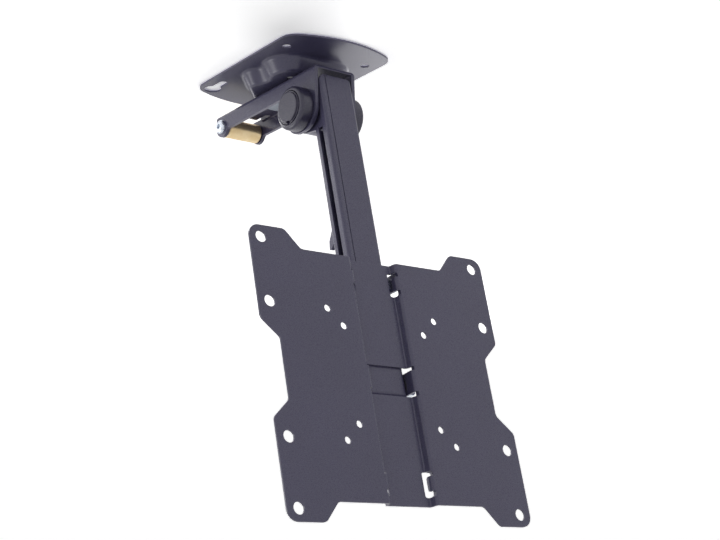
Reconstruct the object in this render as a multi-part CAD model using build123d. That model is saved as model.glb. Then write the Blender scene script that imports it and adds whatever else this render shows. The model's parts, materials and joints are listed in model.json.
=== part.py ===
from build123d import *

import os
from math import cos, pi, radians, sin, sqrt, tan

# Fold-down ceiling mount for a flat screen. Millimetres, +Z up, +X to the right seen
# from the front, +Y to the back. The origin is the centre of the ceiling plate's flat
# upper face, midway between its four screw places. The arm hangs and leans forward.

# Ceiling plate
PLATE_WIDTH = 103.0
PLATE_SIDE = 135.0
PLATE_BULGE = 13.0
PLATE_SHIFT = 1.3
PLATE_SHEET = 1.5
PLATE_CORNER = 14.0
SCREW_SPACING_X = 78.0
SCREW_SPACING_Y = 94.0
SCREW_HOLE_R = 3.6
KEY_HEAD_R = 7.2
KEY_TRAVEL = 16.5

# Pressed dish in the middle of the ceiling plate
DISH_FRONT = (13.0, -16.5, 24.0)
DISH_SIDE = (22.0, 14.5, 15.5)
DISH_NOSE = (0.0, 27.0, 23.5)
DISH_WAIST_R = 9.0
DISH_DEPTH = 12.0
DISH_DRAFT = 28.0
DISH_EDGE_R = 4.0

# Swivel: a pivot bolt, and a guide bolt in an arc slot
PIVOT_Y = 24.0
PIVOT_R = 5.0
GUIDE_RADIUS = 44.0
GUIDE_R = 3.0
SWIVEL_ANGLE = 18.0
DISC_SHEET = 1.0
PIVOT_DISC_R = 15.0
GUIDE_DISC_R = 9.0

# Yoke under the dish
YOKE_ROOM = 8.0
YOKE_SHEET = 3.0
YOKE_BEND_R = 4.2
YOKE_FRONT = 20.4
YOKE_TOE = 18.4
YOKE_LIP = 8.7
YOKE_LEG_BLEND = 8.0
YOKE_LIP_BLEND = 3.0
YOKE_DEPTH = 15.5
WEB_REAR_GAP = 9.0

# Fold hinge
HINGE_Y = -36.9
HINGE_DROP = 33.5
HINGE_PIN_R = 5.0
LEAN = 11.17
CAP_R = 17.9
CAP_HEIGHT = 11.4
CAP_FLOOR = 2.0
CAP_SHOULDER_R = 3.0
CAP_BORE_R = 14.2
BUTTON_R = 12.5
BUTTON_SKIRT_R = 13.6
BUTTON_STEP = 1.3
BUTTON_PROUD = 1.9
BUTTON_WALL = 1.5
HINGE_WASHER_R = 15.0

# Roller at the rear of the yoke
ROLLER_Y = 80.0
ROLLER_DROP = 12.2
ROLLER_R = 8.2
ROLLER_BOLT_R = 3.0

# Arm: a front and a rear channel with a slot between them
ARM_WIDTH = 31.3
ARM_DEPTH = 17.2
ARM_SHEET = 1.8
ARM_BEND_R = 2.4
ARM_SETBACK = 8.1
ARM_TOP = 21.0
FRONT_FLANGE = 6.5
REAR_FLANGE = 5.3
REAR_TOP = -22.0
ARM_SHOULDER_R = 5.0
GROOVE_X = -10.4
GROOVE_WIDTH = 1.0
GROOVE_DEPTH = 0.6
CHEEK_SHEET = 2.5
CHEEK_R = 17.7
BARREL_WALL = 2.5
CHEEK_TAIL = 62.0
BUSH_R = 9.0
SPACER_R = 5.0
SPACER_BELOW_CHEEK = 24.0
SPACER_FROM_LOCK = 30.0

# Tilt axis at the lower end of the arm
REACH = 238.5
TILT_TUBE_R = 6.5
KNUCKLE_HALF = 18.2
KNUCKLE_SHEET = 2.5
KNUCKLE_BEND_R = 3.4
KNUCKLE_LOW = 11.0
KNUCKLE_HIGH = 14.0
KNUCKLE_CORNER = 4.0
TILT_PIN_R = 4.0
TILT_ANGLE = 15.0
LOCK_RADIUS = 83.0
LOCK_PIN_R = 2.5
LOCK_BAND_IN = 6.5
LOCK_BAND_OUT = 7.0
LOCK_SHEET = 2.0
LOCK_FOOT = 14.0
LOCK_BUSH_R = 5.0
LOCK_HEAD_R = 5.0
LOCK_HEAD = 3.6
LOCK_NUT_AF = 8.0
LOCK_NUT = 5.0
LOCK_END = 1.0
QUAD_STEP = 2.0

# Screen plate
SHEET = 1.6
TV_HALF_X = 109.9
TV_HALF_Z = 109.3
WAIST_HALF_X = 95.2
WAIST_HALF_Z = 94.6
EAR_FOOT_X = 66.1
EAR_TIP_X = 78.8
EAR_TIP_Z = 36.6
EAR_FOOT_Z = 22.9
EAR_CORNER_R = 9.0
EAR_BEND_R = 5.5
JOGGLE_DEPTH = 5.7
JOGGLE_IN_X = 19.6
JOGGLE_OUT_X = 21.4
TV_BEND_R = 2.6
PATTERN_LARGE = 200.0
PATTERN_WIDE = 100.0
PATTERN_SMALL = 75.0
HOLE_LARGE_R = 4.5
HOLE_SMALL_R = 2.8
WINDOW_HALF_Z = 11.5
SLOT_IN_X = 16.2
SLOT_LOW_Z = 68.7
SLOT_HIGH_Z = 88.0
RELIEF_X = 22.3
EAR_GAP = 39.0
TILT_EAR_R = 8.35
TAB_LENGTH = 11.0
TAB_DEPTH = 5.5

# Latch hook that holds the folded arm on the roller
FOLD_PAST = 3.0
LATCH_X = 12.2
LATCH_SHEET = 3.0
LATCH_OPEN = 21.0
LATCH_PIN_R = 2.0
LATCH_PIN_V = 0.6
LATCH_PIN_RISE = 15.0
LATCH_THROAT = 0.5
LATCH_CROWN = 3.8
LATCH_STEM = 11.0
LATCH_HEEL = 25.0
LATCH_LIP = 2.0
BRACKET_SHEET = 1.5
LATCH_HUB_R = 5.0
LATCH_NOTCH_GAP = 0.8
LATCH_NOTCH_END = 5.2

# Clearances
RUN = 0.05
SIDE_GAP = 0.3
MOVE_GAP = 0.5
HOLE_GAP = 0.3

os.makedirs("parts", exist_ok=True)
EPS = 0.01


def along_x(radius, x0, x1, y=0.0, z=0.0):
    """Round bar from x0 to x1."""
    return Pos((x0 + x1) / 2, y, z) * Rot(0, 90, 0) * Cylinder(radius, x1 - x0)


def along_z(radius, z0, z1, x=0.0, y=0.0):
    """Round bar from z0 to z1."""
    return Pos(x, y, (z0 + z1) / 2) * Cylinder(radius, z1 - z0)


def block(x0, x1, y0, y1, z0, z1):
    """Box between two corners."""
    return Pos((x0 + x1) / 2, (y0 + y1) / 2, (z0 + z1) / 2) * Box(x1 - x0, y1 - y0, z1 - z0)


def side_cut(sketch, x0, x1):
    """Extrude a sketch drawn with its X as Y and its Y as Z, from x0 to x1."""
    plane = Plane(origin=(x0, 0, 0), x_dir=(0, 1, 0), z_dir=(1, 0, 0))
    return extrude(plane * sketch, amount=x1 - x0)


def front_cut(sketch, y0, y1):
    """Extrude a sketch drawn with its X as X and its Y as Z, from y0 to y1."""
    plane = Plane(origin=(0, y1, 0), x_dir=(1, 0, 0), z_dir=(0, -1, 0))
    return extrude(plane * sketch, amount=y1 - y0)


def near(items, points, reach=0.6):
    """Vertices of a sketch that lie at the given points."""
    found = []
    for item in items:
        for point in points:
            if abs(item.X - point[0]) < reach and abs(item.Y - point[1]) < reach:
                found.append(item)
    return found


def hex_x(flats, x0, x1, y, z, bore=0.0):
    """Hexagon nut or bolt head with its axis along X, its outer corners turned off."""
    corner = flats / 2 / cos(pi / 6)
    plane = Plane(origin=(x0, y, z), x_dir=(0, 1, 0), z_dir=(1, 0, 0))
    body = extrude(plane * RegularPolygon(corner, 6), amount=x1 - x0)
    body &= chamfer(along_x(corner, x0, x1, y, z).edges(), (corner - flats / 2) * 0.6)
    if bore:
        body -= along_x(bore, x0 - 1, x1 + 1, y, z)
    return body


def hex_z(flats, z0, z1, x, y, bore=0.0):
    """Hexagon nut or bolt head with its axis along Z."""
    corner = flats / 2 / cos(pi / 6)
    body = extrude(Pos(x, y, z0) * RegularPolygon(corner, 6), amount=z1 - z0)
    body &= chamfer(along_z(corner, z0, z1, x, y).edges(), (corner - flats / 2) * 0.6)
    if bore:
        body -= along_z(bore, z0 - 1, z1 + 1, x, y)
    return body


def save(name, shape):
    """Write one node."""
    export_step(shape, os.path.join("parts", name + ".step"))


# Heights that follow from the sizes above
FLOOR_TOP = -DISH_DEPTH
FLOOR_LOW = -DISH_DEPTH - PLATE_SHEET
WEB_TOP = FLOOR_LOW - DISC_SHEET - SIDE_GAP
WEB_LOW = WEB_TOP - YOKE_SHEET
YOKE_LOW = WEB_TOP - YOKE_DEPTH
HINGE_Z = WEB_TOP - HINGE_DROP
ROLLER_Z = WEB_TOP - ROLLER_DROP
GUIDE_Y = PIVOT_Y - GUIDE_RADIUS
YOKE_HALF = (ARM_WIDTH + YOKE_ROOM) / 2
YOKE_IN = YOKE_HALF - YOKE_SHEET

# Ceiling plate: straight sides, bulged ends, rounded corners
half_x = PLATE_WIDTH / 2
half_y = PLATE_SIDE / 2
low_y = PLATE_SHIFT - half_y
high_y = PLATE_SHIFT + half_y
corners = [(half_x, low_y), (half_x, high_y), (-half_x, high_y), (-half_x, low_y)]
rim = [
    Line(corners[0], corners[1]),
    ThreePointArc(corners[1], (0, high_y + PLATE_BULGE), corners[2]),
    Line(corners[2], corners[3]),
    ThreePointArc(corners[3], (0, low_y - PLATE_BULGE), corners[0]),
]
plate_face = make_face(rim)
plate_face = fillet(near(plate_face.vertices(), corners), PLATE_CORNER)
plate = extrude(plate_face, amount=-PLATE_SHEET)

# The dish is a front and a rear lobe, joined by a rounded waist


def between(first, second, radius):
    """Centre of the waist arc that touches two circles from outside."""
    dx, dy = second[0] - first[0], second[1] - first[1]
    gap = sqrt(dx * dx + dy * dy)
    reach = first[2] + radius
    along = (reach**2 - (second[2] + radius) ** 2 + gap**2) / (2 * gap)
    out = sqrt(reach**2 - along**2)
    return (first[0] + (dx * along + dy * out) / gap, first[1] + (dy * along - dx * out) / gap)


def toward(circle, point):
    """Point on a circle, seen from its centre in the direction of another point."""
    dx, dy = point[0] - circle[0], point[1] - circle[1]
    size = sqrt(dx * dx + dy * dy)
    return (circle[0] + dx * circle[2] / size, circle[1] + dy * circle[2] / size)


def tangent(first, second):
    """Touching points of the outer tangent line of two circles."""
    dx, dy = second[0] - first[0], second[1] - first[1]
    gap = sqrt(dx * dx + dy * dy)
    turn = (first[2] - second[2]) / gap
    rise = sqrt(1 - turn**2)
    nx, ny = (dx * turn + dy * rise) / gap, (dy * turn - dx * rise) / gap
    return ((first[0] + nx * first[2], first[1] + ny * first[2]),
            (second[0] + nx * second[2], second[1] + ny * second[2]))


def dish_outline(inset):
    """Outline of the dish, moved inwards by the given amount."""
    front = (DISH_FRONT[0], DISH_FRONT[1], DISH_FRONT[2] - inset)
    rear = (DISH_SIDE[0], DISH_SIDE[1], DISH_SIDE[2] - inset)
    nose = (DISH_NOSE[0], DISH_NOSE[1], DISH_NOSE[2] - inset)
    waist_r = DISH_WAIST_R + inset
    centre = between(front, rear, waist_r)
    waist = (centre[0], centre[1], waist_r)
    p0 = (front[0], front[1] - front[2])
    p1 = toward(front, centre)
    p2 = toward(rear, centre)
    p3, p4 = tangent(rear, nose)
    p5 = (0, nose[1] + nose[2])
    mid = ((p1[0] + p2[0]) / 2, (p1[1] + p2[1]) / 2)
    low = toward(front, (front[0] + 1.0, front[1] - 0.6))
    half = [Line((0, p0[1]), p0), ThreePointArc(p0, low, p1), ThreePointArc(p1, toward(waist, mid), p2),
            ThreePointArc(p2, toward(rear, (rear[0] + 1.0, rear[1] + 0.1)), p3), Line(p3, p4),
            ThreePointArc(p4, toward(nose, (p4[0] / 2, p4[1] + 3.0)), p5)]
    return make_face(half + [mirror(edge, Plane.YZ) for edge in half])


def dish_body(inset, top, low):
    """Drafted block under the dish outline."""
    run = (top - low) * tan(radians(DISH_DRAFT))
    return loft([Pos(0, 0, top) * dish_outline(inset), Pos(0, 0, low) * dish_outline(inset + run)], ruled=True)


draft = radians(DISH_DRAFT)
plate += dish_body(0, -PLATE_SHEET, FLOOR_LOW)
low_rim = [e for e in plate.edges() if abs(e.center().Z - FLOOR_LOW) < EPS]
plate = fillet(low_rim, DISH_EDGE_R)
skin = PLATE_SHEET / cos(draft)
hollow = dish_body(skin - PLATE_SHEET * tan(draft), 0, FLOOR_TOP)
inner_rim = [e for e in hollow.edges() if abs(e.center().Z - FLOOR_TOP) < EPS]
hollow = fillet(inner_rim, DISH_EDGE_R - PLATE_SHEET)
plate -= hollow
root = [e for e in plate.edges() if abs(e.center().Z + PLATE_SHEET) < EPS]
root = [e for e in root if abs(e.center().X) < 40 and -42.5 < e.center().Y < 52]
plate = fillet(root, DISH_EDGE_R)
brim = [e for e in plate.edges() if abs(e.center().Z) < EPS]
brim = [e for e in brim if abs(e.center().X) < 40 and -42.5 < e.center().Y < 52]
plate = fillet(brim, DISH_EDGE_R + PLATE_SHEET)

# Round screw holes in front, keyholes behind, all the way through the sheet
screw_x = SCREW_SPACING_X / 2
screw_y = SCREW_SPACING_Y / 2
for side in (-1, 1):
    plate -= along_z(SCREW_HOLE_R, -PLATE_SHEET - 1, 1, side * screw_x, -screw_y)
    plate -= along_z(SCREW_HOLE_R, -PLATE_SHEET - 1, 1, side * screw_x, screw_y)
    plate -= along_z(KEY_HEAD_R, -PLATE_SHEET - 1, 1, side * screw_x, screw_y + KEY_TRAVEL)
    plate -= block(side * screw_x - SCREW_HOLE_R, side * screw_x + SCREW_HOLE_R,
                   screw_y, screw_y + KEY_TRAVEL, -PLATE_SHEET - 1, 1)

# Pivot hole and the guide bolt's arc slot in the dish floor
plate -= along_z(PIVOT_R, FLOOR_LOW - 1, FLOOR_TOP + 1, 0, PIVOT_Y)
slot_half = SWIVEL_ANGLE + 2.0
slot_arc = CenterArc((0, PIVOT_Y), GUIDE_RADIUS, -90 - slot_half, 2 * slot_half)
arc_slot = Pos(0, 0, FLOOR_LOW - 1) * SlotArc(slot_arc, 2 * (GUIDE_R + HOLE_GAP))
plate -= extrude(arc_slot, amount=PLATE_SHEET + 2)
save("ceiling_plate", plate)

# Pivot bolt: a low head and a washer below the web, and the nut in the dish
PIVOT_AF = 16.0
PIVOT_HEAD = 3.6
PIVOT_NUT = 7.5
PIVOT_WASHER = 1.0
PIVOT_WASHER_R = 10.5
washer_low = WEB_LOW - SIDE_GAP - PIVOT_WASHER
pivot_bolt = hex_z(PIVOT_AF, washer_low - PIVOT_HEAD, washer_low, 0, PIVOT_Y)
pivot_bolt += along_z(PIVOT_R, washer_low, FLOOR_TOP + PIVOT_NUT + 1.5, 0, PIVOT_Y)
save("pivot_bolt", pivot_bolt)
save("pivot_nut", hex_z(PIVOT_AF, FLOOR_TOP, FLOOR_TOP + PIVOT_NUT, 0, PIVOT_Y, PIVOT_R))
pivot_washer = along_z(PIVOT_WASHER_R, washer_low, washer_low + PIVOT_WASHER, 0, PIVOT_Y)
save("pivot_washer", pivot_washer - along_z(PIVOT_R, washer_low - 1, WEB_TOP, 0, PIVOT_Y))

# Slip discs between the dish and the web
pivot_disc = along_z(PIVOT_DISC_R, FLOOR_LOW - DISC_SHEET, FLOOR_LOW, 0, PIVOT_Y)
save("pivot_disc", pivot_disc - along_z(PIVOT_R, WEB_TOP, FLOOR_TOP, 0, PIVOT_Y))
guide_disc = along_z(GUIDE_DISC_R, WEB_TOP, WEB_TOP + DISC_SHEET, 0, GUIDE_Y)
save("guide_disc", guide_disc - along_z(GUIDE_R, WEB_LOW, FLOOR_TOP, 0, GUIDE_Y))

# Guide bolt: its head rides above the dish floor, its nut clamps the web from below
GUIDE_HEAD_R = 8.0
guide_head = fillet(along_z(GUIDE_HEAD_R, FLOOR_TOP + SIDE_GAP, FLOOR_TOP + SIDE_GAP + 4.0, 0, GUIDE_Y)
                    .edges().group_by(Axis.Z)[-1], 1.5)
guide_bolt = guide_head + along_z(GUIDE_R, WEB_LOW - 8.0, FLOOR_TOP + SIDE_GAP, 0, GUIDE_Y)
save("guide_bolt", guide_bolt)
save("guide_nut", hex_z(10.0, WEB_LOW - 6.0, WEB_LOW, 0, GUIDE_Y, GUIDE_R))

# Yoke: one folded sheet, a web and two side plates, with bosses at hinge and roller
yoke_front_y = HINGE_Y - YOKE_FRONT
yoke_rear_y = ROLLER_Y + YOKE_LIP
web_rear_y = ROLLER_Y - WEB_REAR_GAP
leg_low = HINGE_Z - YOKE_TOE
section = Pos(0, (WEB_TOP + leg_low) / 2) * Rectangle(2 * YOKE_HALF, WEB_TOP - leg_low)
top_pair = section.vertices().group_by(Axis.Y)[-1]
section = fillet(top_pair, YOKE_BEND_R)
hollow_low = leg_low - 5
hollow = Pos(0, (WEB_LOW + hollow_low) / 2) * Rectangle(2 * YOKE_IN, WEB_LOW - hollow_low)
hollow = fillet(hollow.vertices().group_by(Axis.Y)[-1], YOKE_BEND_R - YOKE_SHEET)
yoke = front_cut(section - hollow, yoke_front_y, yoke_rear_y)

side = Pos((yoke_front_y + yoke_rear_y) / 2, (WEB_TOP + YOKE_LOW) / 2) * Rectangle(
    yoke_rear_y - yoke_front_y, WEB_TOP - YOKE_LOW)
leg = Pos(HINGE_Y, (WEB_TOP + leg_low) / 2) * Rectangle(2 * YOKE_FRONT, WEB_TOP - leg_low)
leg = fillet(leg.vertices().group_by(Axis.Y)[0], YOKE_TOE - 1.0)
side += leg
side += Pos(ROLLER_Y, ROLLER_Z) * Circle(YOKE_LIP)
hinge_notch_y = HINGE_Y + YOKE_FRONT
roller_notch_y = ROLLER_Y - sqrt(YOKE_LIP**2 - (YOKE_LOW - ROLLER_Z) ** 2)
side = fillet(near(side.vertices(), [(hinge_notch_y, YOKE_LOW)]), YOKE_LEG_BLEND)
side = fillet(near(side.vertices(), [(roller_notch_y, YOKE_LOW)]), YOKE_LIP_BLEND)
side = fillet(near(side.vertices(), [(yoke_rear_y, WEB_TOP), (yoke_front_y, WEB_TOP)]), 2.5)
yoke &= side_cut(side, -YOKE_HALF - 1, YOKE_HALF + 1)
yoke -= block(-YOKE_IN, YOKE_IN, web_rear_y, yoke_rear_y + 1, YOKE_LOW - 20, WEB_TOP + 1)
# The web's rear edge is notched where the open latch hook passes
notch_r = LATCH_SHEET / 2 + LATCH_NOTCH_GAP
notch_y = ROLLER_Y - ROLLER_R - LATCH_THROAT - LATCH_STEM - LATCH_NOTCH_END + notch_r
yoke -= block(LATCH_X - notch_r, LATCH_X + notch_r, notch_y, web_rear_y + 1, WEB_LOW - 1, WEB_TOP + 1)
yoke -= along_z(notch_r, WEB_LOW - 1, WEB_TOP + 1, LATCH_X, notch_y)
yoke -= along_z(PIVOT_R + RUN, WEB_LOW - 1, WEB_TOP + 1, 0, PIVOT_Y)
yoke -= along_z(GUIDE_R, WEB_LOW - 1, WEB_TOP + 1, 0, GUIDE_Y)
yoke -= along_x(HINGE_PIN_R, -YOKE_HALF - 1, YOKE_HALF + 1, HINGE_Y, HINGE_Z)
yoke -= along_x(ROLLER_BOLT_R, -YOKE_HALF - 1, YOKE_HALF + 1, ROLLER_Y, ROLLER_Z)
save("yoke_bracket", yoke)

# Hinge bolt and nut, their ends inside the round caps
cap_seat = YOKE_HALF + CAP_FLOOR
HINGE_HEAD = 6.0
HINGE_AF = 17.0
hinge_bolt = along_x(HINGE_PIN_R, -cap_seat, cap_seat + HINGE_HEAD + 1.0, HINGE_Y, HINGE_Z)
hinge_bolt += hex_x(HINGE_AF, -cap_seat - HINGE_HEAD, -cap_seat, HINGE_Y, HINGE_Z)
save("hinge_bolt", hinge_bolt)
save("hinge_nut", hex_x(HINGE_AF, cap_seat, cap_seat + HINGE_HEAD, HINGE_Y, HINGE_Z, HINGE_PIN_R))


def hinge_cap(side):
    """Cup with a rounded shoulder, open outwards, that the bolt clamps to the yoke."""
    x0 = YOKE_HALF
    x1 = YOKE_HALF + CAP_HEIGHT
    cup = along_x(CAP_R, x0, x1, HINGE_Y, HINGE_Z)
    cup = fillet(cup.edges().group_by(Axis.X)[-1], CAP_SHOULDER_R)
    cup = chamfer(cup.edges().group_by(Axis.X)[0], 0.8)
    cup -= along_x(CAP_BORE_R, x0 + CAP_FLOOR, x1 + 1, HINGE_Y, HINGE_Z)
    cup -= along_x(HINGE_PIN_R, x0 - 1, x1, HINGE_Y, HINGE_Z)
    return cup if side > 0 else mirror(cup, Plane.YZ)


def cap_button(side):
    """Snap-in cover: a thin cup, its face one step above its skirt, with a pry notch low in it."""
    x0 = YOKE_HALF + CAP_FLOOR
    x1 = YOKE_HALF + CAP_HEIGHT + BUTTON_PROUD
    face = along_x(BUTTON_R, x1 - BUTTON_STEP - 1, x1, HINGE_Y, HINGE_Z)
    face = fillet(face.edges().group_by(Axis.X)[-1], 0.8)
    skirt = along_x(BUTTON_SKIRT_R, x0, x1 - BUTTON_STEP, HINGE_Y, HINGE_Z)
    cover = face + fillet(skirt.edges().group_by(Axis.X)[-1], 0.4)
    cover -= along_x(BUTTON_R - BUTTON_WALL, x0 - 1, x1 - BUTTON_WALL, HINGE_Y, HINGE_Z)
    notch_z = HINGE_Z - BUTTON_R
    cover -= block(x1 - BUTTON_STEP - 1, x1 + 1, HINGE_Y - 2, HINGE_Y + 2, notch_z - 2, notch_z + 1.1)
    return cover if side > 0 else mirror(cover, Plane.YZ)


save("hinge_cap_left", hinge_cap(-1))
save("hinge_cap_right", hinge_cap(1))
save("cap_button_left", cap_button(-1))
save("cap_button_right", cap_button(1))

# Slip washers between the side plates and the arm's cheeks
cheek_out = ARM_WIDTH / 2 - ARM_SHEET
washer = along_x(HINGE_WASHER_R, cheek_out + SIDE_GAP, YOKE_IN, HINGE_Y, HINGE_Z)
washer -= along_x(HINGE_PIN_R, 0, YOKE_HALF, HINGE_Y, HINGE_Z)
save("hinge_washers", Compound([washer, mirror(washer, Plane.YZ)]))

# Roller on its cross bolt
roller_half = YOKE_IN - MOVE_GAP
roller = chamfer(along_x(ROLLER_R, -roller_half, roller_half, ROLLER_Y, ROLLER_Z).edges(), 0.8)
roller -= along_x(ROLLER_BOLT_R + RUN, -YOKE_HALF, YOKE_HALF, ROLLER_Y, ROLLER_Z)
save("roller", roller)
ROLLER_HEAD_R = 6.1
ROLLER_HEAD = 3.8
ROLLER_PEEN_R = 4.4
ROLLER_PEEN = 1.2
roller_head = along_x(ROLLER_HEAD_R, -YOKE_HALF - ROLLER_HEAD, -YOKE_HALF, ROLLER_Y, ROLLER_Z)
roller_head = fillet(roller_head.edges().group_by(Axis.X)[0], 2.6)
roller_head -= hex_x(4.0, -YOKE_HALF - ROLLER_HEAD - 1, -YOKE_HALF - 1.6, ROLLER_Y, ROLLER_Z)
roller_bolt = roller_head + along_x(ROLLER_BOLT_R, -YOKE_HALF, YOKE_HALF, ROLLER_Y, ROLLER_Z)
peened_end = along_x(ROLLER_PEEN_R, YOKE_HALF, YOKE_HALF + ROLLER_PEEN, ROLLER_Y, ROLLER_Z)
roller_bolt += chamfer(peened_end.edges().group_by(Axis.X)[-1], 0.8)
save("roller_bolt", roller_bolt)

# The arm is drawn upright: v is back and w is up from the hinge axis, then it leans
REST = Pos(0, HINGE_Y, HINGE_Z) * Rot(-LEAN, 0, 0)
ARM_REAR = -ARM_SETBACK
ARM_FRONT = ARM_REAR - ARM_DEPTH
TILT_V = ARM_FRONT + ARM_DEPTH / 2
TILT_W = -REACH
LOCK_W = TILT_W + LOCK_RADIUS
ARM_HALF = ARM_WIDTH / 2


def channel(v_web, v_lip, w0, w1):
    """Folded channel with its web at v_web and its two flanges reaching to v_lip."""
    depth = abs(v_lip - v_web)
    way = 1 if v_lip > v_web else -1
    outer = Pos(0, (v_web + v_lip) / 2) * Rectangle(ARM_WIDTH, depth)
    outer = fillet(near(outer.vertices(), [(ARM_HALF, v_web), (-ARM_HALF, v_web)]), ARM_BEND_R)
    in_half = ARM_HALF - ARM_SHEET
    v_in = v_web + way * ARM_SHEET
    v_out = v_lip + way
    inner = Pos(0, (v_in + v_out) / 2) * Rectangle(2 * in_half, abs(v_out - v_in))
    inner = fillet(near(inner.vertices(), [(in_half, v_in), (-in_half, v_in)]), ARM_BEND_R - ARM_SHEET)
    return extrude(Pos(0, 0, w0) * (outer - inner), amount=w1 - w0)


arm_low = TILT_W + KNUCKLE_HIGH
lock_hole = along_x(LOCK_PIN_R, -ARM_HALF - 1, ARM_HALF + 1, TILT_V, LOCK_W)
front_channel = channel(ARM_FRONT, ARM_FRONT + FRONT_FLANGE, arm_low, ARM_TOP)
shoulder = Pos(0, (ARM_TOP + arm_low) / 2) * Rectangle(ARM_WIDTH, ARM_TOP - arm_low)
shoulder = fillet(shoulder.vertices().group_by(Axis.Y)[-1], ARM_SHOULDER_R)
front_channel &= front_cut(shoulder, ARM_FRONT - 1, ARM_REAR)
groove = block(GROOVE_X - GROOVE_WIDTH / 2, GROOVE_X + GROOVE_WIDTH / 2,
               ARM_FRONT - 1, ARM_FRONT + GROOVE_DEPTH, arm_low - 1, ARM_TOP + 1)
front_channel -= groove
front_channel -= lock_hole
save("arm_front_channel", REST * front_channel)

rear_low = TILT_W + TILT_TUBE_R + 1.0
rear_channel = channel(ARM_REAR, ARM_REAR - REAR_FLANGE, rear_low, REAR_TOP) - lock_hole
save("arm_rear_channel", REST * rear_channel)

# Cheeks inside the channels carry the hinge bush
cheek_v = ARM_FRONT + ARM_BEND_R
cheek_rear = ARM_REAR - ARM_BEND_R
cheek_top = ARM_TOP - 2.0
collar = Circle(CHEEK_R).edges() + Polyline(
    (cheek_v, REAR_TOP + EPS), (cheek_v, cheek_top), (cheek_rear, cheek_top), (cheek_rear, REAR_TOP + EPS),
    close=True).edges()
cheek_face = make_hull(collar)
cheek_face += Pos((cheek_v + cheek_rear) / 2, (REAR_TOP + 1 - CHEEK_TAIL) / 2) * Rectangle(
    cheek_rear - cheek_v, REAR_TOP + 1 + CHEEK_TAIL)
cheek = side_cut(cheek_face, cheek_out - CHEEK_SHEET, cheek_out)
cheek -= along_x(HINGE_PIN_R + RUN, 0, ARM_HALF, 0, 0)
save("arm_cheeks", REST * Compound([cheek, mirror(cheek, Plane.YZ)]))
bush_half = cheek_out - CHEEK_SHEET
barrel = along_x(CHEEK_R, -bush_half, bush_half) - along_x(CHEEK_R - BARREL_WALL, -bush_half - 1, bush_half + 1)
save("hinge_barrel", REST * barrel)
bush = along_x(BUSH_R, -bush_half, bush_half) - along_x(HINGE_PIN_R + RUN, -bush_half - 1, bush_half + 1)
save("hinge_bush", REST * bush)

# Round spacers tie the front web to the rear web
spacers = []
for w in (-CHEEK_TAIL - SPACER_BELOW_CHEEK, LOCK_W + SPACER_FROM_LOCK, LOCK_W - SPACER_FROM_LOCK):
    length = ARM_DEPTH - 2 * ARM_SHEET
    spacers.append(Pos(0, TILT_V, w) * Rot(90, 0, 0) * Cylinder(SPACER_R, length))
save("arm_spacers", REST * Compound(spacers))

# Knuckle at the lower end: a folded saddle flush with the arm's front, and the tilt tube
KNUCKLE_IN = KNUCKLE_HALF - KNUCKLE_SHEET
saddle = Pos(0, (ARM_FRONT + ARM_REAR) / 2) * Rectangle(2 * KNUCKLE_HALF, ARM_DEPTH)
saddle = fillet(near(saddle.vertices(), [(KNUCKLE_HALF, ARM_FRONT), (-KNUCKLE_HALF, ARM_FRONT)]), KNUCKLE_BEND_R)
pocket_front = ARM_FRONT + KNUCKLE_SHEET
pocket = Pos(0, (pocket_front + ARM_REAR + 1) / 2) * Rectangle(2 * KNUCKLE_IN, ARM_REAR + 1 - pocket_front)
pocket = fillet(near(pocket.vertices(), [(KNUCKLE_IN, pocket_front), (-KNUCKLE_IN, pocket_front)]),
                KNUCKLE_BEND_R - KNUCKLE_SHEET)
saddle_low = TILT_W - KNUCKLE_LOW
knuckle = extrude(Pos(0, 0, saddle_low) * (saddle - pocket), amount=KNUCKLE_LOW + KNUCKLE_HIGH)
flank = Pos(TILT_V, (saddle_low + arm_low) / 2) * Rectangle(ARM_DEPTH, KNUCKLE_LOW + KNUCKLE_HIGH)
flank = fillet(flank.vertices().group_by(Axis.Y)[0], KNUCKLE_CORNER)
knuckle &= side_cut(flank, -KNUCKLE_HALF - 1, KNUCKLE_HALF + 1)
knuckle += along_x(TILT_TUBE_R, -KNUCKLE_IN - 1, KNUCKLE_IN + 1, TILT_V, TILT_W)
knuckle -= along_x(TILT_PIN_R + RUN, -KNUCKLE_HALF - 1, KNUCKLE_HALF + 1, TILT_V, TILT_W)
save("tilt_knuckle", REST * knuckle)

# Screen plate, drawn upright in the same frame: its front face is at v = PANEL_FRONT
PANEL_BACK = ARM_FRONT - MOVE_GAP
PANEL_FRONT = PANEL_BACK - SHEET
TV_FRONT = PANEL_FRONT - JOGGLE_DEPTH
TV_BACK = TV_FRONT + SHEET
wall = SHEET * JOGGLE_DEPTH / sqrt(JOGGLE_DEPTH**2 + (JOGGLE_OUT_X - JOGGLE_IN_X) ** 2)
bend_in = [(JOGGLE_IN_X, PANEL_FRONT), (JOGGLE_OUT_X + wall, TV_BACK)]
bend_out = [(JOGGLE_IN_X + wall, PANEL_BACK), (JOGGLE_OUT_X, TV_FRONT)]
far = TV_HALF_X + 2
profile = make_face(Polyline((-EPS, PANEL_FRONT), bend_in[0], bend_out[1], (far, TV_FRONT),
                             (far, TV_BACK), bend_in[1], bend_out[0], (-EPS, PANEL_BACK), close=True))
profile = fillet(near(profile.vertices(), bend_in, 0.1), TV_BEND_R - SHEET)
profile = fillet(near(profile.vertices(), bend_out, 0.1), TV_BEND_R)
sheet = extrude(Pos(0, 0, -TV_HALF_Z - 2) * profile, amount=2 * TV_HALF_Z + 4)
sheet += mirror(sheet, Plane.YZ)

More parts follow.
